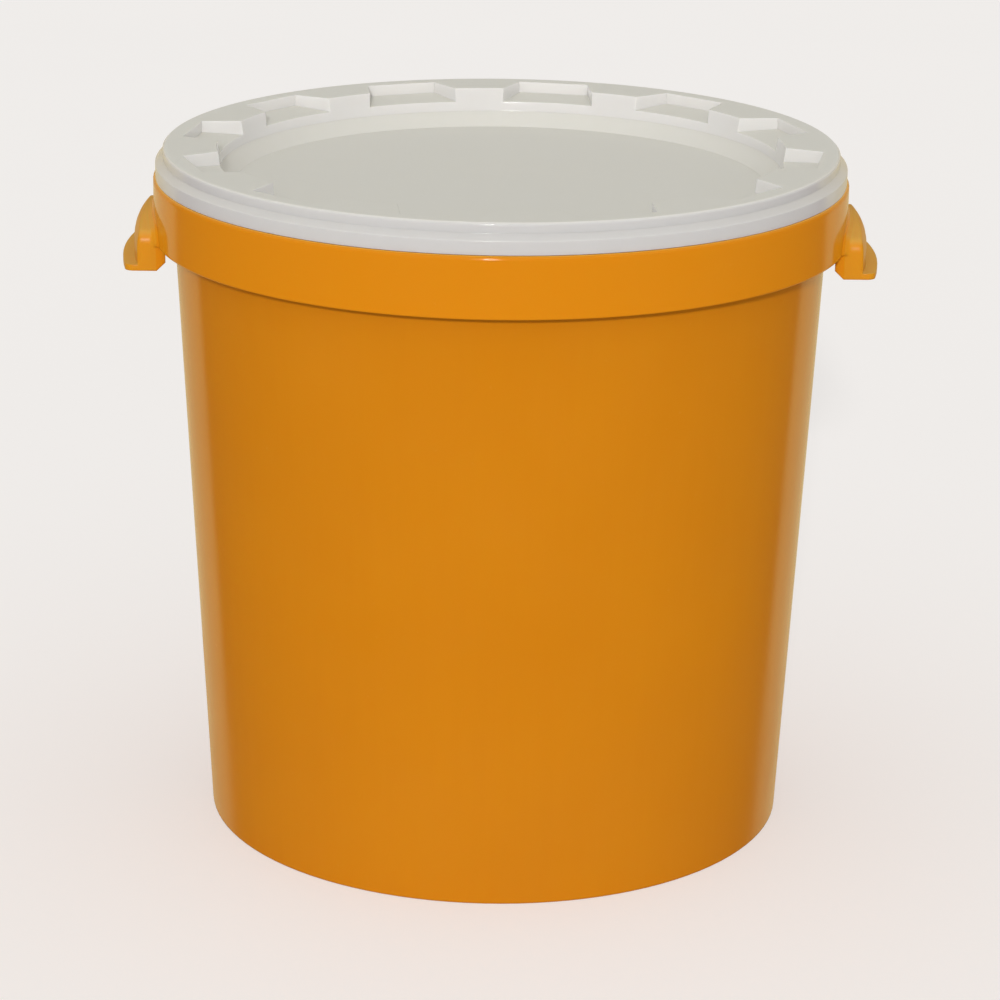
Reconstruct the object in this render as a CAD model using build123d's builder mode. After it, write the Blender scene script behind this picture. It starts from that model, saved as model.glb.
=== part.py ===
"""Honey pail with two moulded side grips, a snap lid and the lid's sealing ring.

Sizes are in millimetres. The pail's axis is Z and it stands on Z = 0.
The two grips lie on +X and -X.
"""
import os
from math import hypot, radians, tan

from build123d import *

# Pail wall and floor
base_radius = 158.0
wall_lean = 2.91
wall = 2.4
mouth_height = 365.6
floor_height = 6.0
floor_wall = 2.6
foot_width = 3.2

# Ribs under the floor
rib_inner_radius = 46.0
rib_depth = 3.2
rib_width = 1.8
floor_ribs = 8

# Neck of the pail, with the bead that the lid snaps over
neck_height = 11.0
bead_reach = 3.2
bead_rise = 3.4

# Collar skirt around the pail
collar_reach = 9.4
collar_depth = 31.7
collar_wall = 2.2
collar_chamfer = 1.1

# Hand grips
grip_reach = 10.5
grip_below_collar = 13.4
grip_rise = 16.5
grip_top_drop = 16.8
grip_half_width = 44.0
grip_shoulder = 8.4
grip_corner = 7.0
grip_crown = -1.5
grip_root_chamfer = 3.0
grip_root_depth = 3.8
grip_wall = 2.4
lip_reach = 6.1
lip_thickness = 3.2
lip_plan_round = 5.0
heel_chamfer = 4.6

# Lid
lid_wall = 1.8
lid_gap = 0.4
lid_ledge = 1.2
lid_step = 4.0
lid_top_over_mouth = 4.8
lid_shoulder_high = 5.3
lid_shoulder_low = 8.3
lid_chamfer = 1.0
snap_clearance = 0.5
snap_height = 2.2
plug_clearance = 0.9
plug_depth = 11.6
rim_width = 28.6
rim_depth = 12.9
rim_lean = 1.7
slope_width = 8.0
slope_depth = 7.5

# Pockets in the lid's rim
pockets = 12
pocket_turn = 20.0
pocket_half_width = 20.0
pocket_flare = 15.3
pocket_back_gap = 1.4
pocket_depth = 6.2
pocket_fall = 2.0

# Sealing ring
seal_side_gap = 0.4
seal_mouth_gap = 0.4


def wall_radius(height):
    """Outer radius of the pail's wall at a height."""
    return base_radius + height * tan(radians(wall_lean))


# Heights and radii that follow from the sizes above
collar_top = mouth_height - neck_height
collar_bottom = collar_top - collar_depth
collar_radius = wall_radius(collar_top) + collar_reach
collar_inside = (wall_radius(collar_bottom) + wall_radius(collar_top) - wall) / 2
bead_radius = wall_radius(collar_top) + bead_reach
grip_top = collar_top - grip_top_drop
grip_spring = grip_top - grip_rise
grip_bottom = collar_bottom - grip_below_collar
grip_radius = collar_radius + grip_reach
lip_radius = grip_radius + lip_reach
lid_top = mouth_height + lid_top_over_mouth
lid_bottom = collar_top + lid_gap
skirt_radius = collar_radius - lid_ledge
crown_radius = skirt_radius - lid_step
mouth_inner = wall_radius(mouth_height) - wall
plug_radius = mouth_inner - plug_clearance
plug_inner = plug_radius - lid_wall
rim_inner = crown_radius - rim_width
ring_radius = rim_inner - rim_lean
ring_height = lid_top - rim_depth
panel_radius = ring_radius - slope_width
panel_height = ring_height - slope_depth
channel_roof = lid_top - lid_wall
snap_radius = bead_radius + snap_clearance
flare = tan(radians(pocket_flare))
pocket_back = plug_inner - pocket_back_gap
pocket_mouth = panel_radius
pocket_mouth_half = pocket_half_width + (pocket_back - pocket_mouth) * flare
pocket_floor = lid_top - pocket_depth


# Lip along the lower edge of one grip, for the fingers to pull on
with BuildPart() as lip:
    with BuildSketch(Plane.XY.offset(grip_bottom)) as lip_plan:
        Circle(lip_radius)
        Circle(grip_radius - grip_wall, mode=Mode.SUBTRACT)
        with Locations((lip_radius, 0)):
            Rectangle(lip_radius, 2 * grip_half_width, mode=Mode.INTERSECT)
        fillet(lip_plan.vertices().group_by(Axis.X)[-1], lip_plan_round)
    extrude(amount=lip_thickness)

# Outer shape of one grip: a hood that bulges out of the collar
with BuildPart() as hood:
    with BuildSketch(Plane.XZ) as hood_section:
        with BuildLine():
            root = collar_radius - grip_root_depth
            back = Line((root, grip_top), (root, grip_bottom))
            under = Line(back @ 1, (grip_radius, grip_bottom))
            front = Line(under @ 1, (grip_radius, grip_spring))
            dome = EllipticalCenterArc((collar_radius, grip_spring), grip_reach, grip_rise, arc_size=90)
            Line(dome @ 1, back @ 0)
        make_face()
        chamfer(hood_section.vertices().sort_by_distance(back @ 1)[0], heel_chamfer)
    revolve(axis=Axis.Z)
    with BuildSketch(Plane.YZ) as arch:
        with BuildLine():
            shoulder = grip_top - grip_shoulder
            left = Line((-grip_half_width, shoulder), (-grip_half_width, grip_bottom))
            Line(left @ 1, (grip_half_width, grip_bottom))
            right = Line((grip_half_width, grip_bottom), (grip_half_width, shoulder))
            ThreePointArc(right @ 1, (0, grip_top + grip_crown), left @ 0)
        make_face()
        fillet(arch.vertices().group_by(Axis.Y)[-1], grip_corner)
    extrude(amount=lip_radius, mode=Mode.INTERSECT)
    add(lip.part)

# Space for the fingers inside one grip
with BuildPart() as finger_space:
    with BuildSketch(Plane.XZ):
        with BuildLine():
            inner = wall_radius(collar_bottom) - wall / 2
            roof = grip_top - grip_wall
            reach = grip_reach - grip_wall
            back = Line((inner, roof), (inner, grip_bottom - grip_wall))
            under = Line(back @ 1, (collar_radius + reach, grip_bottom - grip_wall))
            front = Line(under @ 1, (collar_radius + reach, grip_spring))
            haunch = Line(front @ 1, (collar_radius + reach / 2, roof - grip_wall))
            Polyline(haunch @ 1, (collar_radius, roof), back @ 0)
        make_face()
    revolve(axis=Axis.Z)
    with BuildSketch(Plane.YZ) as inner_arch:
        with BuildLine():
            half = grip_half_width - grip_wall
            shoulder = grip_top - grip_shoulder - grip_wall
            left = Line((-half, shoulder), (-half, grip_bottom - grip_wall))
            Line(left @ 1, (half, grip_bottom - grip_wall))
            right = Line((half, grip_bottom - grip_wall), (half, shoulder))
            ThreePointArc(right @ 1, (0, grip_top + grip_crown - grip_wall), left @ 0)
        make_face()
        fillet(inner_arch.vertices().group_by(Axis.Y)[-1], grip_corner - grip_wall)
    extrude(amount=lip_radius, mode=Mode.INTERSECT)

# Pail: collar and grips first, then the finger spaces, then the wall that carries them
with BuildPart() as pail:
    with BuildSketch(Plane.YZ) as collar_section:
        with BuildLine():
            under_web = collar_top - collar_wall
            behind = collar_radius - collar_wall
            top = Line((collar_inside, collar_top), (collar_radius, collar_top))
            face = Line(top @ 1, (collar_radius, collar_bottom))
            edge = Line(face @ 1, (behind, collar_bottom))
            back = Line(edge @ 1, (behind, under_web))
            web = Line(back @ 1, (collar_inside, under_web))
            Line(web @ 1, top @ 0)
        make_face()
        chamfer(collar_section.vertices().sort_by_distance(top @ 1)[0], collar_chamfer)
    revolve(axis=Axis.Z)
    with PolarLocations(0, 2):
        add(hood.part)
    root_edges = pail.edges(Select.NEW).filter_by(lambda e: e.center().Z > collar_bottom + collar_wall)
    root_edges = root_edges.filter_by(lambda e: hypot(e.center().X, e.center().Y) > behind + collar_wall / 2)
    chamfer(root_edges, grip_root_chamfer)
    with PolarLocations(0, 2):
        add(finger_space.part, mode=Mode.SUBTRACT)

    # Wall, floor, foot ring and neck in one turned section
    with BuildSketch(Plane.YZ):
        with BuildLine():
            neck_radius = wall_radius(collar_top)
            inner_floor = floor_height + floor_wall
            foot = Line((base_radius - foot_width, 0), (base_radius, 0))
            outside = Line(foot @ 1, (neck_radius, collar_top))
            bead = Polyline(
                outside @ 1,
                (bead_radius, collar_top + bead_rise),
                (wall_radius(mouth_height), mouth_height),
            )
            mouth = Line(bead @ 1, (mouth_inner, mouth_height))
            inner_face = Line(mouth @ 1, (wall_radius(inner_floor) - wall, inner_floor))
            floor_top = Line(inner_face @ 1, (0, inner_floor))
            middle = Line(floor_top @ 1, (0, floor_height))
            floor_under = Line(middle @ 1, (base_radius - foot_width, floor_height))
            Line(floor_under @ 1, foot @ 0)
        make_face()
    revolve(axis=Axis.Z)

    # Ribs under the floor
    with BuildSketch(Plane.XY.offset(floor_height)):
        with PolarLocations((rib_inner_radius + base_radius - foot_width) / 2, floor_ribs):
            Rectangle(base_radius - foot_width / 2 - rib_inner_radius, rib_width)
    extrude(amount=-rib_depth)

# Space of one pocket in the lid's rim, open at the top and towards the middle of the lid
with BuildPart() as pocket:
    with BuildSketch(Plane.XY.offset(lid_top - rim_depth)):
        with BuildLine():
            Polyline(
                (pocket_back, -pocket_half_width),
                (pocket_back, pocket_half_width),
                (pocket_mouth, pocket_mouth_half),
                (pocket_mouth, -pocket_mouth_half),
                close=True,
            )
        make_face()
    extrude(amount=rim_depth + lid_wall)
    with BuildSketch(Plane.XZ):
        with BuildLine():
            Polyline(
                (crown_radius, lid_top + lid_wall),
                (crown_radius, pocket_floor),
                (pocket_back, pocket_floor),
                (pocket_mouth, pocket_floor - pocket_fall),
                (pocket_mouth, lid_top + lid_wall),
                close=True,
            )
        make_face()
    extrude(amount=rim_depth * 3, both=True, mode=Mode.INTERSECT)

# Walls of one pocket, as the block of material that the pocket is cut from
with BuildPart() as bucket:
    with BuildSketch(Plane.XY.offset(lid_top)):
        with BuildLine():
            Polyline(
                (crown_radius, -pocket_half_width - lid_wall + (crown_radius - pocket_back) * flare),
                (crown_radius, pocket_half_width + lid_wall - (crown_radius - pocket_back) * flare),
                (pocket_mouth, pocket_mouth_half + lid_wall),
                (pocket_mouth, -pocket_mouth_half - lid_wall),
                close=True,
            )
        make_face()
        Circle(plug_radius - lid_wall / 2, mode=Mode.INTERSECT)
        Circle(rim_inner + lid_wall / 4, mode=Mode.SUBTRACT)
    extrude(amount=-rim_depth)
    with BuildSketch(Plane.XZ):
        with BuildLine():
            Polyline(
                (crown_radius, lid_top),
                (crown_radius, pocket_floor - lid_wall),
                (pocket_back, pocket_floor - lid_wall),
                (pocket_mouth, pocket_floor - pocket_fall - lid_wall),
                (pocket_mouth, lid_top),
                close=True,
            )
        make_face()
    extrude(amount=rim_depth * 3, both=True, mode=Mode.INTERSECT)

# Lid: one turned shell, then the pockets around its rim
with BuildPart() as lid:
    with BuildSketch(Plane.YZ) as shell:
        with BuildLine():
            high = lid_top - lid_shoulder_high
            low = lid_top - lid_shoulder_low
            inner_skirt = skirt_radius - lid_wall
            inner_crown = crown_radius - lid_wall
            Polyline(
                (0, panel_height),
                (panel_radius, panel_height),
                (ring_radius, ring_height),
                (rim_inner, lid_top),
                (crown_radius, lid_top),
                (crown_radius, high),
                (skirt_radius, low),
                (skirt_radius, lid_bottom),
                (snap_radius, lid_bottom),
                (snap_radius, lid_bottom + snap_height),
                (inner_skirt, low - lid_wall / 2),
                (inner_crown, high - lid_wall / 2),
                (inner_crown, channel_roof),
                (plug_radius, channel_roof),
                (plug_radius, lid_top - plug_depth),
                (plug_inner, lid_top - plug_depth),
                (plug_inner, channel_roof),
                (rim_inner + lid_wall, channel_roof),
                (ring_radius + lid_wall, ring_height - lid_wall / 2),
                (panel_radius + lid_wall / 2, panel_height - lid_wall),
                (0, panel_height - lid_wall),
                close=True,
            )
        make_face()
        chamfer(shell.vertices().sort_by_distance((crown_radius, lid_top))[0], lid_chamfer)
    revolve(axis=Axis.Z)
    with PolarLocations(0, pockets, start_angle=pocket_turn):
        add(bucket.part)
    with PolarLocations(0, pockets, start_angle=pocket_turn):
        add(pocket.part, mode=Mode.SUBTRACT)

# Sealing ring in the lid's channel
with BuildPart() as lid_seal:
    with BuildSketch(Plane.XY.offset(channel_roof)):
        Circle(crown_radius - lid_wall - seal_side_gap)
        Circle(plug_radius + seal_side_gap, mode=Mode.SUBTRACT)
    extrude(amount=mouth_height + seal_mouth_gap - channel_roof)

os.makedirs("parts", exist_ok=True)
pail.part.label = "pail"
lid.part.label = "lid"
lid_seal.part.label = "lid_seal"
export_step(pail.part, "parts/pail.step")
export_step(lid.part, "parts/lid.step")
export_step(lid_seal.part, "parts/lid_seal.step")
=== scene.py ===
"""Honey pail with a snap lid: finishes, softened edges, studio and camera.

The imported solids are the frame. Each solid keeps its shape, gets a finish of its own
with the mould's soft edges, and stands in a plain pale studio.
"""
from math import cos, radians

import bpy
from bpy.props import FloatProperty, FloatVectorProperty, PointerProperty
from mathutils import Matrix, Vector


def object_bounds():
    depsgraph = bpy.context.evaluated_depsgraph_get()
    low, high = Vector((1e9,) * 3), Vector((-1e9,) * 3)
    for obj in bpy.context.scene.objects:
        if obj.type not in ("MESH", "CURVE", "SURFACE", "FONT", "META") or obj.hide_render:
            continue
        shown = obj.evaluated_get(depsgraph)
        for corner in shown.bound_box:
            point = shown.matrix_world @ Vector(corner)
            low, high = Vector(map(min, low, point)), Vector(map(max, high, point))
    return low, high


bl_info = {
    "name": "Honey Pail",
    "version": (1, 0, 0),
    "blender": (4, 5, 0),
    "location": "3D View > Sidebar > Honey Pail",
    "description": "Finishes the packed honey pail and sets it in a plain studio",
    "category": "Object",
}

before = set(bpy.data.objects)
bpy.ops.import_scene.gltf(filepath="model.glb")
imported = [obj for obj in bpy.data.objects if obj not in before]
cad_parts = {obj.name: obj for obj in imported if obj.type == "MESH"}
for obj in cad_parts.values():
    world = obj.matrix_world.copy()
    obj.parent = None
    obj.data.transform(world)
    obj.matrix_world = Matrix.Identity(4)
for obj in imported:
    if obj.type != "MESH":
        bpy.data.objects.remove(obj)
cad_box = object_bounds()

# Settings that many properties share
LENGTH = {"subtype": "DISTANCE", "unit": "LENGTH", "min": 0}
SHARE = {"subtype": "FACTOR", "min": 0, "max": 1}

# Takes the height out of a place or a direction
ACROSS = (1.0, 1.0, 0.0)
# Upward part of the normal at which a face starts to count as level, and at which it fully does
LEVEL_RISE = (0.4, 0.9)
# The middle of a noise pattern, over which the gloss varies
NOISE_MIDDLE = (0.3, 0.7)
# Size in millimetres at which the polish grain is drawn, and strength of the waves in a moulded face
GRAIN_SIZE = 1.6
WAVE_STRENGTH = 0.3

# Bands of the pail's finish in metres, and what each is counted from
COLLAR_FACE = (-0.003, -0.002)  # the collar's radius
COLLAR_EDGE = (-0.0045, -0.0035)  # the collar's top
COLLAR_LEDGE = (-0.0003, -0.0001)  # the collar's top
GRIP_ROOT = (0.0, 0.0008)  # the radius at which the hoods stand clear
GRIP_LIP = (0.0, 0.002)  # the height of the lips
WALL_FOOT = (0.14, 0.05)  # the underside of the foot
# Pigment: streaks drawn out along the height, their share beside the slow drift, and the range of both
STREAK_STRETCH = (1.0, 1.0, 0.04)
STREAK_SHARE = 0.35
PIGMENT_RANGE = (0.3, 1.1)
# Scratches: how they lie, how long they are drawn, the peaks of noise that count, and what they do
SCRATCH_SLANT = (0.3, 0.5, 0.9)
SCRATCH_STRETCH = (1.0, 0.08, 1.0)
SCRATCH_PEAKS = (0.66, 0.78)
SCRATCH_STRENGTH = 0.16
SCRATCH_DULL = 0.3
# Least and greatest change of the pail's and the lid's roughness from place to place
PAIL_GLOSS = (-0.03, 0.05)
LID_GLOSS = (-0.04, 0.05)

# Bands of the lid's finish in metres, and what each is counted from
SKIRT_FACE = (-0.001, 0.0)  # the skirt's radius
SKIRT_EDGE = (0.0012, 0.0024)  # the skirt's lower edge
# Flow lines in the lid: spacing in metres at the panel's edge, share beside the clouds, and range of both
FLOW_SPACING = 0.006
FLOW_SHARE = 0.4
MILK_RANGE = (0.45, 0.95)
# Least and greatest change that flow lines and clouds make to the share of the level colour
MILK_TONE = (-0.06, 0.1)

# Gap that keeps the floor from touching the foot, in metres
FLOOR_GAP = 0.0002
# Softness of the mirrored screen's sides, and upward part of a direction over which it closes overhead
SCREEN_SIDE = (-0.03, 0.03)
SCREEN_TOP = (0.25, 0.6)
# Slightly warm white of the even fill and of the key lamp, in linear light
FILL_COLOUR = (1.0, 0.992, 0.98, 1.0)
KEY_COLOUR = (1.0, 0.985, 0.965)
# Place of the key lamp's symbol: its light depends on its direction alone
KEY_PLACE = (0, -1.5, 1.5)
# Width of the camera's sensor in millimetres
SENSOR_WIDTH = 36.0


def linear(code):
    """An sRGB hex colour as linear red, green and blue."""
    parts = [int(code[i:i + 2], 16) / 255 for i in (1, 3, 5)]
    return [c / 12.92 if c <= 0.04045 else ((c + 0.055) / 1.055) ** 2.4 for c in parts]


def per_metre(size_mm):
    """Texture scale that gives a pattern of this size, for coordinates in metres."""
    return 1000 / size_mm


def band(base, ends):
    """Start and end, counted from a base value, of the range over which a mask goes from 0 to 1."""
    return {"From Min": base + ends[0], "From Max": base + ends[1]}


def node(tree, kind, links=None, **settings):
    """Add a shader node, set its properties and fill its inputs with values or links."""
    made = tree.nodes.new(kind)
    for key, value in settings.items():
        setattr(made, key, value)
    for key, value in (links or {}).items():
        if isinstance(value, bpy.types.NodeSocket):
            tree.links.new(value, made.inputs[key])
        else:
            made.inputs[key].default_value = value
    return made


def new_material(name):
    """A node material without nodes, and its node tree."""
    material = bpy.data.materials.new(name)
    material.use_nodes = True
    material.node_tree.nodes.clear()
    return material, material.node_tree


def colour_property(name, description, code):
    """A colour that the user can change, with its default from a hex value."""
    return FloatVectorProperty(
        name=name, description=description, subtype="COLOR", size=3, min=0, max=1, default=linear(code)
    )


class PailFinish(bpy.types.PropertyGroup):
    """Finish of the orange pail."""

    colour: colour_property("Orange", "Colour of the pail where the pigment lies thinner", "#D98814")
    deep_colour: colour_property(
        "Deep orange", "Colour of the pail where the pigment lies thicker", "#D48210"
    )
    # Painted light: the collar is painted lighter orange for the light that comes through it
    collar_glow_colour: colour_property(
        "Collar", "Colour of the thin collar, which light comes through", "#E18C13"
    )
    # Painted light: the grips are painted lighter and yellower for the light that comes through them
    grip_glow_colour: colour_property("Grips", "Colour of the thin grips, which light comes through", "#DF9416")
    # Painted reflection: the grips' level faces are painted pale tan, as if they mirror the pale
    # surroundings
    lip_reflection_colour: colour_property(
        "Grip reflection", "Colour of the level faces of the grips, which hands have worn", "#DCA948"
    )
    # Painted light: the collar's ledge under the lid is painted bright, as if lit through the lid
    ledge_light_colour: colour_property(
        "Ledge", "Colour of the collar's ledge, which light through the lid falls on", "#FBB845"
    )
    scratch_colour: colour_property("Scratches", "Colour of the fine scratches", "#E8A950")
    roughness: FloatProperty(
        name="Roughness", description="Roughness of the moulded gloss", default=0.1, **SHARE
    )
    grip_dull: FloatProperty(
        name="Grip dullness", description="Roughness that handling adds on the grips", default=0.22, **SHARE
    )
    lip_dull: FloatProperty(
        name="Lip dullness", description="Roughness that carrying adds on the level faces of the grips",
        default=0.5, **SHARE
    )
    foot_dull: FloatProperty(
        name="Foot dullness", description="Roughness that use adds towards the foot", default=0.1, **SHARE
    )
    shine: FloatProperty(
        name="Shine", description="Strength of the mirror in the moulded gloss", default=0.25, **SHARE
    )
    collar_top: FloatProperty(
        name="Collar top", description="Height of the collar's upper edge", default=0.3546, **LENGTH
    )
    collar_radius: FloatProperty(
        name="Collar radius", description="Radius of the collar's outer face", default=0.1855, **LENGTH
    )
    edge_round: FloatProperty(
        name="Edge round", description="Radius of the rounding on the mould's edges",
        default=0.0012, **LENGTH
    )
    collar_round: FloatProperty(
        name="Collar round", description="Radius of the rounding on the collar's upper edge",
        default=0.0026, **LENGTH
    )
    grip_round: FloatProperty(
        name="Grip round", description="Radius of the rounding on the hoods of the grips",
        default=0.0032, **LENGTH
    )
    grip_start: FloatProperty(
        name="Grip start", description="Radius at which the hoods stand clear of the collar",
        default=0.186, **LENGTH
    )
    grip_low: FloatProperty(
        name="Grip low", description="Height of the hoods' lips", default=0.313, **LENGTH
    )


class LidFinish(bpy.types.PropertyGroup):
    """Finish of the white lid."""

    colour: colour_property(
        "Walls", "Colour of the upright walls, which light comes through from behind", "#E5E3E1"
    )
    # Painted shade: the level faces are painted greyer for the dark inside under them
    level_shade_colour: colour_property(
        "Level", "Colour of the level faces, which the dark inside shows through", "#DCDBD2"
    )
    # Painted shade: the skirt is painted greyer for the neck under it
    skirt_shade_colour: colour_property("Skirt", "Colour of the skirt, which the neck shows through", "#D5D4D3")
    panel_radius: FloatProperty(
        name="Panel radius",
        description="Radius of the panel's edge, where the flow lines have their spacing",
        default=0.1422, **LENGTH
    )
    skirt_radius: FloatProperty(
        name="Skirt radius", description="Radius of the skirt that covers the neck", default=0.1801, **LENGTH
    )
    roughness: FloatProperty(
        name="Roughness", description="Roughness of the moulded gloss", default=0.15, **SHARE
    )
    level_dull: FloatProperty(
        name="Level dullness", description="Roughness that the level faces add to that of the walls",
        default=0.6, **SHARE
    )
    skirt_end: FloatProperty(
        name="Skirt end", description="Height of the skirt's lower edge", default=0.355, **LENGTH
    )
    edge_round: FloatProperty(
        name="Edge round", description="Radius of the rounding on the mould's edges",
        default=0.0008, **LENGTH
    )


class SealFinish(bpy.types.PropertyGroup):
    """Finish of the sealing ring."""

    colour: colour_property("Foam", "Colour of the foamed ring", "#E8E4D8")
    cell_size: FloatProperty(
        name="Cell size", description="Size of the foam's cells as drawn",
        subtype="DISTANCE", unit="LENGTH", min=0.0001, default=0.0009
    )


class StudioSettings(bpy.types.PropertyGroup):
    """Floor, light and camera."""

    floor_colour: colour_property("Floor", "Colour of the floor", "#D4D3D2")
    backdrop_colour: colour_property(
        "Backdrop", "Colour behind the floor, which the floor is lifted towards for the eye", "#F5F1EE"
    )
    floor_size: FloatProperty(
        name="Floor size", description="Side of the floor", subtype="DISTANCE", unit="LENGTH",
        min=1, default=14.0
    )
    floor_lift: FloatProperty(
        name="Floor lift", description="How much the floor is lifted towards the backdrop for the eye",
        min=0, default=0.39
    )
    mirrored_back: colour_property(
        "Back in reflections", "Colour that the gloss mirrors from behind and above", "#DCC998"
    )
    mirrored_front: colour_property(
        "Front in reflections", "Colour that the gloss mirrors from the front", "#7E5646"
    )
    screen_half: FloatProperty(
        name="Screen half angle",
        description="Half the angle over which the mirrored screen reaches behind the pail",
        subtype="ANGLE", default=radians(46)
    )
    key_strength: FloatProperty(
        name="Key lamp", description="Strength of the main light, in watts per square metre",
        min=0, default=1.55
    )
    key_spread: FloatProperty(
        name="Key spread", description="Angle over which the main light is spread", subtype="ANGLE",
        min=0, default=radians(4)
    )
    key_height: FloatProperty(
        name="Key height", description="Angle of the main light above the floor", subtype="ANGLE",
        default=radians(21)
    )
    key_turn: FloatProperty(
        name="Key turn", description="Angle of the main light to the left of the front", subtype="ANGLE",
        default=radians(4)
    )
    fill: FloatProperty(
        name="Fill", description="Strength of the even light from all round", min=0, default=0.6
    )
    camera_place: FloatVectorProperty(
        name="Camera place", description="Place of the camera", subtype="TRANSLATION", unit="LENGTH",
        size=3, default=(-0.000747, -1.85517, 0.7706)
    )
    camera_tilt: FloatProperty(
        name="Tilt", description="Angle of the camera below the horizon", subtype="ANGLE",
        default=radians(17.9146)
    )
    camera_turn: FloatProperty(
        name="Turn", description="Turn of the camera to the right", subtype="ANGLE", default=radians(0.0707)
    )
    camera_roll: FloatProperty(
        name="Roll", description="Roll of the camera to the left", subtype="ANGLE", default=radians(0.7394)
    )
    lens: FloatProperty(
        name="Lens", description="Focal length in millimetres on a 36 mm wide sensor",
        subtype="DISTANCE_CAMERA", min=10, default=127.446
    )


def places(tree):
    """The place on a solid, its height, and the place without its height."""
    place = node(tree, "ShaderNodeTexCoord").outputs["Object"]
    height = node(tree, "ShaderNodeSeparateXYZ", {"Vector": place}).outputs["Z"]
    flat = node(tree, "ShaderNodeVectorMath", {0: place, 1: ACROSS}, operation="MULTIPLY").outputs["Vector"]
    return place, height, flat


def level_faces(tree):
    """Mask of the faces that look up."""
    way = node(tree, "ShaderNodeNewGeometry").outputs["Normal"]
    rise = node(tree, "ShaderNodeSeparateXYZ", {"Vector": way}).outputs["Z"]
    return node(
        tree, "ShaderNodeMapRange", {"Value": rise, **band(0, LEVEL_RISE)}, interpolation_type="SMOOTHSTEP"
    ).outputs["Result"]


def moulded_surface(tree, place, rounded, wave_mm, wave_depth, grain_strength, grain_depth):
    """Normal of a moulded face: slow waves where it cooled, and the polish grain of the mould.

    The depths are in metres. The grain is about 0.4 mm across and is drawn four times as coarse so
    that it shows.
    """
    waves = node(
        tree, "ShaderNodeTexNoise", {"Vector": place, "Scale": per_metre(wave_mm), "Detail": 1.0}
    ).outputs["Fac"]
    wavy = node(
        tree, "ShaderNodeBump",
        {"Strength": WAVE_STRENGTH, "Distance": wave_depth, "Height": waves, "Normal": rounded}
    ).outputs["Normal"]
    grain = node(
        tree, "ShaderNodeTexNoise", {"Vector": place, "Scale": per_metre(GRAIN_SIZE), "Detail": 2.0}
    ).outputs["Fac"]
    return node(
        tree, "ShaderNodeBump",
        {"Strength": grain_strength, "Distance": grain_depth, "Height": grain, "Normal": wavy}
    ).outputs["Normal"]


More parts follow.
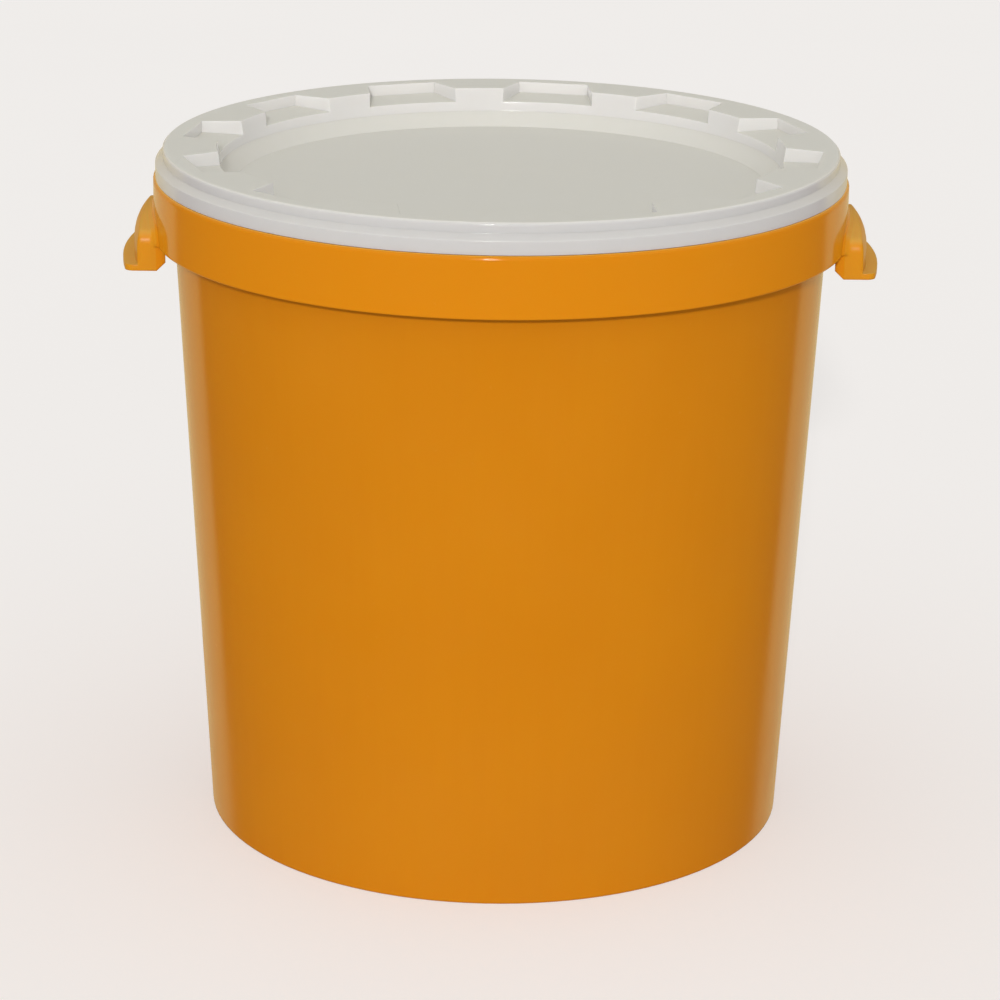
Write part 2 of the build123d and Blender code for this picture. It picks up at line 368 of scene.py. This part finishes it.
def orange_polypropylene(look):
    """Injection-moulded polypropylene with orange pigment.

    The eye sees an even, saturated orange under a clean gloss: slow waves in the reflections where the wall
    cooled, a slight drift of pigment along the flow, a few pale scratches, and dull grips. Painted light:
    the collar and the grips are painted lighter for the light that comes through them, the grips' level
    faces carry a pale painted reflection, and the ledge under the lid a painted light.
    """
    material, tree = new_material("orange_polypropylene_injection_moulded")
    place, height, flat = places(tree)
    radius = node(tree, "ShaderNodeVectorMath", {0: flat}, operation="LENGTH").outputs["Value"]

    # Pigment drifts over about 90 mm, and along the flow in streaks about 7 mm wide
    drift = node(
        tree, "ShaderNodeTexNoise",
        {"Vector": place, "Scale": per_metre(90), "Detail": 2.0, "Roughness": 0.5}
    ).outputs["Fac"]
    along = node(
        tree, "ShaderNodeVectorMath", {0: place, 1: STREAK_STRETCH}, operation="MULTIPLY"
    ).outputs["Vector"]
    streaks = node(
        tree, "ShaderNodeTexNoise",
        {"Vector": along, "Scale": per_metre(7), "Detail": 3.0, "Roughness": 0.6}
    ).outputs["Fac"]
    pigment = node(
        tree, "ShaderNodeMath", {0: streaks, 1: STREAK_SHARE, 2: drift}, operation="MULTIPLY_ADD"
    ).outputs["Value"]
    deep = node(tree, "ShaderNodeMapRange", {"Value": pigment, **band(0, PIGMENT_RANGE)}).outputs["Result"]
    colour = node(
        tree, "ShaderNodeMix",
        {"Factor": deep, "A": (*look.colour, 1), "B": (*look.deep_colour, 1)}, data_type="RGBA"
    ).outputs["Result"]

    # Masks of the collar, of its upper edge, and of the ledge there, which gets a painted light as if lit
    # through the lid
    collar = node(
        tree, "ShaderNodeMapRange", {"Value": radius, **band(look.collar_radius, COLLAR_FACE)}
    ).outputs["Result"]
    near_top = node(
        tree, "ShaderNodeMapRange", {"Value": height, **band(look.collar_top, COLLAR_EDGE)}
    ).outputs["Result"]
    edge = node(tree, "ShaderNodeMath", {0: near_top, 1: collar}, operation="MULTIPLY").outputs["Value"]
    at_top = node(
        tree, "ShaderNodeMapRange", {"Value": height, **band(look.collar_top, COLLAR_LEDGE)}
    ).outputs["Result"]
    ledge = node(tree, "ShaderNodeMath", {0: at_top, 1: collar}, operation="MULTIPLY").outputs["Value"]

    # Masks of the grips, which stand clear of the collar, of their hoods and of their level faces
    grips = node(
        tree, "ShaderNodeMapRange", {"Value": radius, **band(look.grip_start, GRIP_ROOT)}
    ).outputs["Result"]
    above = node(
        tree, "ShaderNodeMapRange", {"Value": height, **band(look.grip_low, GRIP_LIP)}
    ).outputs["Result"]
    hoods = node(tree, "ShaderNodeMath", {0: grips, 1: above}, operation="MULTIPLY").outputs["Value"]
    lips = node(
        tree, "ShaderNodeMath", {0: level_faces(tree), 1: grips}, operation="MULTIPLY"
    ).outputs["Value"]

    # Scratches are about 0.2 mm wide; a pattern of 3 mm draws them about 1 mm wide so that they show
    slant = node(
        tree, "ShaderNodeMapping", {"Vector": place, "Rotation": SCRATCH_SLANT, "Scale": SCRATCH_STRETCH}
    ).outputs["Vector"]
    lines = node(
        tree, "ShaderNodeTexNoise",
        {"Vector": slant, "Scale": per_metre(3), "Detail": 4.0, "Roughness": 0.7}
    ).outputs["Fac"]
    peaks = node(tree, "ShaderNodeMapRange", {"Value": lines, **band(0, SCRATCH_PEAKS)}).outputs["Result"]
    scratches = node(
        tree, "ShaderNodeMath", {0: peaks, 1: SCRATCH_STRENGTH}, operation="MULTIPLY"
    ).outputs["Value"]

    # Painted light: the thin collar and grips are painted lighter for their glow, the grips' level faces get
    # a pale painted reflection and the ledge a painted light; the scratches are pale
    scratches_and_painted_light = (
        (collar, look.collar_glow_colour),
        (grips, look.grip_glow_colour),
        (lips, look.lip_reflection_colour),
        (scratches, look.scratch_colour),
        (ledge, look.ledge_light_colour),
    )
    for mask, tint in scratches_and_painted_light:
        colour = node(
            tree, "ShaderNodeMix", {"Factor": mask, "A": colour, "B": (*tint, 1)}, data_type="RGBA"
        ).outputs["Result"]

    # Gloss varies over about 40 mm, and is duller on the grips, on their level faces and towards the foot
    handling = node(
        tree, "ShaderNodeTexNoise",
        {"Vector": place, "Scale": per_metre(40), "Detail": 4.0, "Roughness": 0.6}
    ).outputs["Fac"]
    rough = node(
        tree, "ShaderNodeMapRange",
        {"Value": handling, **band(0, NOISE_MIDDLE),
         "To Min": look.roughness + PAIL_GLOSS[0], "To Max": look.roughness + PAIL_GLOSS[1]}
    ).outputs["Result"]
    low = node(tree, "ShaderNodeMapRange", {"Value": height, **band(0, WALL_FOOT)}).outputs["Result"]
    for mask, dullness in ((grips, look.grip_dull), (lips, look.lip_dull), (low, look.foot_dull)):
        rough = node(
            tree, "ShaderNodeMath", {0: mask, 1: dullness, 2: rough}, operation="MULTIPLY_ADD"
        ).outputs["Value"]
    rough = node(
        tree, "ShaderNodeMath", {0: scratches, 1: SCRATCH_DULL, 2: rough}, operation="MULTIPLY_ADD",
        use_clamp=True
    ).outputs["Value"]

    # The hoods and the collar's upper edge are rounded more than the other edges
    soft_hoods = node(
        tree, "ShaderNodeMapRange", {"Value": hoods, "To Min": look.edge_round, "To Max": look.grip_round}
    ).outputs["Result"]
    softness = node(
        tree, "ShaderNodeMath", {0: edge, 1: look.collar_round - look.edge_round, 2: soft_hoods},
        operation="MULTIPLY_ADD"
    ).outputs["Value"]
    rounded = node(tree, "ShaderNodeBevel", {"Radius": softness}, samples=16).outputs["Normal"]
    surface = moulded_surface(
        tree, place, rounded, wave_mm=45, wave_depth=0.0004, grain_strength=0.25, grain_depth=0.00003
    )

    shader = node(
        tree, "ShaderNodeBsdfPrincipled",
        {"Base Color": colour, "Roughness": rough, "Normal": surface, "IOR": 1.49,
         "Specular IOR Level": look.shine, "Subsurface Weight": 0.12, "Subsurface Radius": (1.0, 0.45, 0.12),
         "Subsurface Scale": 0.003}
    )
    node(tree, "ShaderNodeOutputMaterial", {"Surface": shader.outputs["BSDF"]})
    return material


def natural_polypropylene(look):
    """Injection-moulded polypropylene without pigment.

    The eye sees a milky white that is slightly see-through: the upright walls glow a little, the level faces
    and the skirt are painted greyer as shade from the dark inside and the neck below, and faint flow lines
    fan out from the middle.
    """
    material, tree = new_material("natural_polypropylene_injection_moulded")
    place, height, flat = places(tree)
    radius = node(tree, "ShaderNodeVectorMath", {0: flat}, operation="LENGTH").outputs["Value"]
    outwards = node(tree, "ShaderNodeVectorMath", {0: flat}, operation="NORMALIZE").outputs["Vector"]

    # The skirt lies over the neck, and the level faces within it lie over the dark inside; both are painted
    # greyer as shade
    skirt = node(
        tree, "ShaderNodeMapRange", {"Value": radius, **band(look.skirt_radius, SKIRT_FACE)}
    ).outputs["Result"]
    within = node(tree, "ShaderNodeMath", {0: 1.0, 1: skirt}, operation="SUBTRACT").outputs["Value"]
    thin = node(
        tree, "ShaderNodeMath", {0: level_faces(tree), 1: within}, operation="MULTIPLY"
    ).outputs["Value"]
    upright = node(
        tree, "ShaderNodeMix",
        {"Factor": skirt, "A": (*look.colour, 1), "B": (*look.skirt_shade_colour, 1)}, data_type="RGBA"
    ).outputs["Result"]

    # Flow lines about 6 mm apart at the panel's edge, and clouds about 70 mm across
    fan = node(
        tree, "ShaderNodeTexNoise",
        {"Vector": outwards, "Scale": look.panel_radius / FLOW_SPACING, "Detail": 3.0, "Roughness": 0.55}
    ).outputs["Fac"]
    cloud = node(
        tree, "ShaderNodeTexNoise",
        {"Vector": place, "Scale": per_metre(70), "Detail": 3.0, "Roughness": 0.55}
    ).outputs["Fac"]
    milky = node(
        tree, "ShaderNodeMath", {0: fan, 1: FLOW_SHARE, 2: cloud}, operation="MULTIPLY_ADD"
    ).outputs["Value"]
    tone = node(
        tree, "ShaderNodeMapRange",
        {"Value": milky, **band(0, MILK_RANGE), "To Min": MILK_TONE[0], "To Max": MILK_TONE[1]}
    ).outputs["Result"]
    share = node(
        tree, "ShaderNodeMath", {0: thin, 1: tone}, operation="ADD", use_clamp=True
    ).outputs["Value"]
    colour = node(
        tree, "ShaderNodeMix",
        {"Factor": share, "A": upright, "B": (*look.level_shade_colour, 1)}, data_type="RGBA"
    ).outputs["Result"]

    # Gloss varies with the same clouds, and the level faces are duller than the walls
    gloss = node(
        tree, "ShaderNodeMapRange",
        {"Value": cloud, **band(0, NOISE_MIDDLE),
         "To Min": look.roughness + LID_GLOSS[0], "To Max": look.roughness + LID_GLOSS[1]}
    ).outputs["Result"]
    rough = node(
        tree, "ShaderNodeMath", {0: thin, 1: look.level_dull, 2: gloss}, operation="MULTIPLY_ADD",
        use_clamp=True
    ).outputs["Value"]

    # The mould's edges are soft, but the skirt is cut off sharply at its lower edge
    softness = node(
        tree, "ShaderNodeMapRange",
        {"Value": height, **band(look.skirt_end, SKIRT_EDGE), "To Max": look.edge_round}
    ).outputs["Result"]
    rounded = node(tree, "ShaderNodeBevel", {"Radius": softness}, samples=12).outputs["Normal"]
    surface = moulded_surface(
        tree, place, rounded, wave_mm=60, wave_depth=0.0005, grain_strength=0.12, grain_depth=0.00002
    )

    shader = node(
        tree, "ShaderNodeBsdfPrincipled",
        {"Base Color": colour, "Roughness": rough, "Normal": surface, "IOR": 1.49,
         "Specular IOR Level": 0.4, "Subsurface Weight": 0.5, "Subsurface Radius": (1.0, 0.95, 0.88),
         "Subsurface Scale": 0.005}
    )
    node(tree, "ShaderNodeOutputMaterial", {"Surface": shader.outputs["BSDF"]})
    return material


def foamed_polyethylene(look):
    """Foamed polyethylene, die-cut to a ring.

    The eye sees a dull pale ring with a fine pitted skin. The cells are about 0.3 mm across and are
    drawn larger so that they show.
    """
    material, tree = new_material("foamed_polyethylene_die_cut")
    place = node(tree, "ShaderNodeTexCoord").outputs["Object"]
    cells = node(
        tree, "ShaderNodeTexVoronoi", {"Vector": place, "Scale": 1 / look.cell_size}, feature="F1"
    ).outputs["Distance"]
    # Each cell is a little darker in its middle: a painted shade in the pit that the bump makes there
    shade = node(
        tree, "ShaderNodeMapRange", {"Value": cells, "From Max": 0.9, "To Min": 0.85, "To Max": 1.05}
    ).outputs["Result"]
    colour = node(
        tree, "ShaderNodeMix",
        {"Factor": 1.0, "A": (*look.colour, 1), "B": shade}, data_type="RGBA", blend_type="MULTIPLY"
    ).outputs["Result"]
    pits = node(
        tree, "ShaderNodeBump", {"Strength": 0.6, "Distance": 0.0002, "Height": cells}
    ).outputs["Normal"]
    shader = node(
        tree, "ShaderNodeBsdfPrincipled",
        {"Base Color": colour, "Roughness": 0.62, "Normal": pits, "IOR": 1.45}
    )
    node(tree, "ShaderNodeOutputMaterial", {"Surface": shader.outputs["BSDF"]})
    return material


def painted_board(rig):
    """Board, sprayed with matt paint.

    The eye sees a plain pale floor, faintly uneven over about 500 mm. For the eye alone it is lifted
    towards the backdrop.
    """
    material, tree = new_material("painted_board_sprayed_matt")
    place = node(tree, "ShaderNodeTexCoord").outputs["Object"]
    spray = node(
        tree, "ShaderNodeTexNoise", {"Vector": place, "Scale": per_metre(500), "Detail": 3.0}
    ).outputs["Fac"]
    shade = node(
        tree, "ShaderNodeMapRange", {"Value": spray, "To Min": 0.985, "To Max": 1.015}
    ).outputs["Result"]
    colour = node(
        tree, "ShaderNodeMix",
        {"Factor": 1.0, "A": (*rig.floor_colour, 1), "B": shade}, data_type="RGBA", blend_type="MULTIPLY"
    ).outputs["Result"]
    path = node(tree, "ShaderNodeLightPath").outputs
    glow = node(
        tree, "ShaderNodeMath", {0: path["Is Camera Ray"], 1: rig.floor_lift}, operation="MULTIPLY"
    ).outputs["Value"]
    shader = node(
        tree, "ShaderNodeBsdfPrincipled",
        {"Base Color": colour, "Roughness": 0.9, "Specular IOR Level": 0.0,
         "Emission Color": (*rig.backdrop_colour, 1), "Emission Strength": glow}
    )
    node(tree, "ShaderNodeOutputMaterial", {"Surface": shader.outputs["BSDF"]})
    return material


def finish_with(piece, material):
    """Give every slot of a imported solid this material."""
    for slot in piece.material_slots:
        slot.material = material


def lay_floor(scene, rig):
    """Lay a plain floor just below the foot. The gloss doesn't mirror it."""
    half = rig.floor_size / 2
    corners = [(-half, -half, 0), (half, -half, 0), (half, half, 0), (-half, half, 0)]
    mesh = bpy.data.meshes.new("floor")
    mesh.from_pydata(corners, [], [(0, 1, 2, 3)])
    mesh.materials.append(painted_board(rig))
    floor = bpy.data.objects.new("floor", mesh)
    scene.collection.objects.link(floor)
    floor.location.z = cad_box[0].z - FLOOR_GAP
    floor.visible_glossy = False


def surround(scene, rig):
    """Set the world: a pale backdrop to the eye, and an even fill that lights the pail.

    The gloss mirrors a warm pale screen behind the pail and above it, and a dim warm room elsewhere,
    so that it shows crisp edges.
    """
    world = bpy.data.worlds.new("studio")
    scene.world = world
    world.use_nodes = True
    tree = world.node_tree
    tree.nodes.clear()

    way = node(tree, "ShaderNodeTexCoord").outputs["Generated"]
    rise = node(tree, "ShaderNodeSeparateXYZ", {"Vector": way}).outputs["Z"]
    flat = node(tree, "ShaderNodeVectorMath", {0: way, 1: ACROSS}, operation="MULTIPLY").outputs["Vector"]
    heading = node(tree, "ShaderNodeVectorMath", {0: flat}, operation="NORMALIZE").outputs["Vector"]
    back = node(tree, "ShaderNodeSeparateXYZ", {"Vector": heading}).outputs["Y"]
    behind = node(
        tree, "ShaderNodeMapRange", {"Value": back, **band(cos(rig.screen_half), SCREEN_SIDE)}
    ).outputs["Result"]
    above = node(
        tree, "ShaderNodeMapRange", {"Value": rise, **band(0, SCREEN_TOP)}, interpolation_type="SMOOTHSTEP"
    ).outputs["Result"]
    screen = node(tree, "ShaderNodeMath", {0: behind, 1: above}, operation="MAXIMUM").outputs["Value"]
    room = node(
        tree, "ShaderNodeMix",
        {"Factor": screen, "A": (*rig.mirrored_front, 1), "B": (*rig.mirrored_back, 1)}, data_type="RGBA"
    ).outputs["Result"]

    path = node(tree, "ShaderNodeLightPath").outputs
    mirrored = node(
        tree, "ShaderNodeMath", {0: path["Is Glossy Ray"], 1: path["Is Transmission Ray"]},
        operation="MAXIMUM"
    ).outputs["Value"]
    even = node(tree, "ShaderNodeBackground", {"Color": FILL_COLOUR, "Strength": rig.fill})
    dim = node(tree, "ShaderNodeBackground", {"Color": room, "Strength": 1.0})
    pale = node(tree, "ShaderNodeBackground", {"Color": (*rig.backdrop_colour, 1), "Strength": 1.0})
    light = node(
        tree, "ShaderNodeMixShader",
        {0: mirrored, 1: even.outputs["Background"], 2: dim.outputs["Background"]}
    )
    seen = node(
        tree, "ShaderNodeMixShader",
        {0: path["Is Camera Ray"], 1: light.outputs["Shader"], 2: pale.outputs["Background"]}
    )
    node(tree, "ShaderNodeOutputWorld", {"Surface": seen.outputs["Shader"]})


def hang_key(scene, rig):
    """Hang the key lamp: a low, slightly soft main light from the front."""
    lamp = bpy.data.lights.new("key", "SUN")
    lamp.energy = rig.key_strength
    lamp.angle = rig.key_spread
    lamp.color = KEY_COLOUR
    key = bpy.data.objects.new("key", lamp)
    scene.collection.objects.link(key)
    swing = Matrix.Rotation(-rig.key_turn, 4, "Z")
    drop = Matrix.Rotation(radians(90) - rig.key_height, 4, "X")
    key.matrix_world = Matrix.Translation(KEY_PLACE) @ swing @ drop


def place_camera(scene, rig):
    """Place the camera in front of the pail and a little above it."""
    eye = bpy.data.cameras.new("camera")
    eye.sensor_fit = "HORIZONTAL"
    eye.sensor_width = SENSOR_WIDTH
    eye.lens = rig.lens
    camera = bpy.data.objects.new("camera", eye)
    scene.collection.objects.link(camera)
    turn = Matrix.Rotation(-rig.camera_turn, 4, "Z")
    tilt = Matrix.Rotation(radians(90) - rig.camera_tilt, 4, "X")
    roll = Matrix.Rotation(rig.camera_roll, 4, "Z")
    camera.matrix_world = Matrix.Translation(rig.camera_place) @ turn @ tilt @ roll
    scene.camera = camera


class HONEYPAIL_OT_pail(bpy.types.Operator):
    """Give the pail its orange finish"""

    bl_idname = "honeypail.pail"
    bl_label = "Pail"

    def execute(self, context):
        finish_with(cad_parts["pail"], orange_polypropylene(context.scene.pail_finish))
        return {"FINISHED"}


class HONEYPAIL_OT_lid(bpy.types.Operator):
    """Give the lid its white finish"""

    bl_idname = "honeypail.lid"
    bl_label = "Lid"

    def execute(self, context):
        finish_with(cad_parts["lid"], natural_polypropylene(context.scene.lid_finish))
        return {"FINISHED"}


class HONEYPAIL_OT_seal(bpy.types.Operator):
    """Give the sealing ring its foam finish"""

    bl_idname = "honeypail.seal"
    bl_label = "Sealing ring"

    def execute(self, context):
        finish_with(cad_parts["lid_seal"], foamed_polyethylene(context.scene.seal_finish))
        return {"FINISHED"}


class HONEYPAIL_OT_studio(bpy.types.Operator):
    """Lay the floor, set the light and place the camera"""

    bl_idname = "honeypail.studio"
    bl_label = "Studio"

    def execute(self, context):
        scene = context.scene
        rig = scene.studio
        scene.view_settings.view_transform = "Standard"
        lay_floor(scene, rig)
        surround(scene, rig)
        hang_key(scene, rig)
        place_camera(scene, rig)
        return {"FINISHED"}


class HONEYPAIL_PT_panel(bpy.types.Panel):
    """Sidebar panel with the pieces and their finishes"""

    bl_idname = "HONEYPAIL_PT_panel"
    bl_label = "Honey Pail"
    bl_space_type = "VIEW_3D"
    bl_region_type = "UI"
    bl_category = "Honey Pail"

    def draw(self, context):
        rows = (
            ("honeypail.pail", context.scene.pail_finish),
            ("honeypail.lid", context.scene.lid_finish),
            ("honeypail.seal", context.scene.seal_finish),
            ("honeypail.studio", context.scene.studio),
        )
        for operator, settings in rows:
            box = self.layout.box()
            box.operator(operator)
            for name in settings.__annotations__:
                box.prop(settings, name)


classes = (
    PailFinish,
    LidFinish,
    SealFinish,
    StudioSettings,
    HONEYPAIL_OT_pail,
    HONEYPAIL_OT_lid,
    HONEYPAIL_OT_seal,
    HONEYPAIL_OT_studio,
    HONEYPAIL_PT_panel,
)


def register():
    for cls in classes:
        bpy.utils.register_class(cls)
    bpy.types.Scene.pail_finish = PointerProperty(type=PailFinish)
    bpy.types.Scene.lid_finish = PointerProperty(type=LidFinish)
    bpy.types.Scene.seal_finish = PointerProperty(type=SealFinish)
    bpy.types.Scene.studio = PointerProperty(type=StudioSettings)


def unregister():
    del bpy.types.Scene.studio
    del bpy.types.Scene.seal_finish
    del bpy.types.Scene.lid_finish
    del bpy.types.Scene.pail_finish
    for cls in reversed(classes):
        bpy.utils.unregister_class(cls)


def main():
    register()
    bpy.ops.honeypail.studio()
    bpy.ops.honeypail.pail()
    bpy.ops.honeypail.lid()
    bpy.ops.honeypail.seal()
    bpy.context.view_layer.update()


if __name__ == "__main__":
    main()
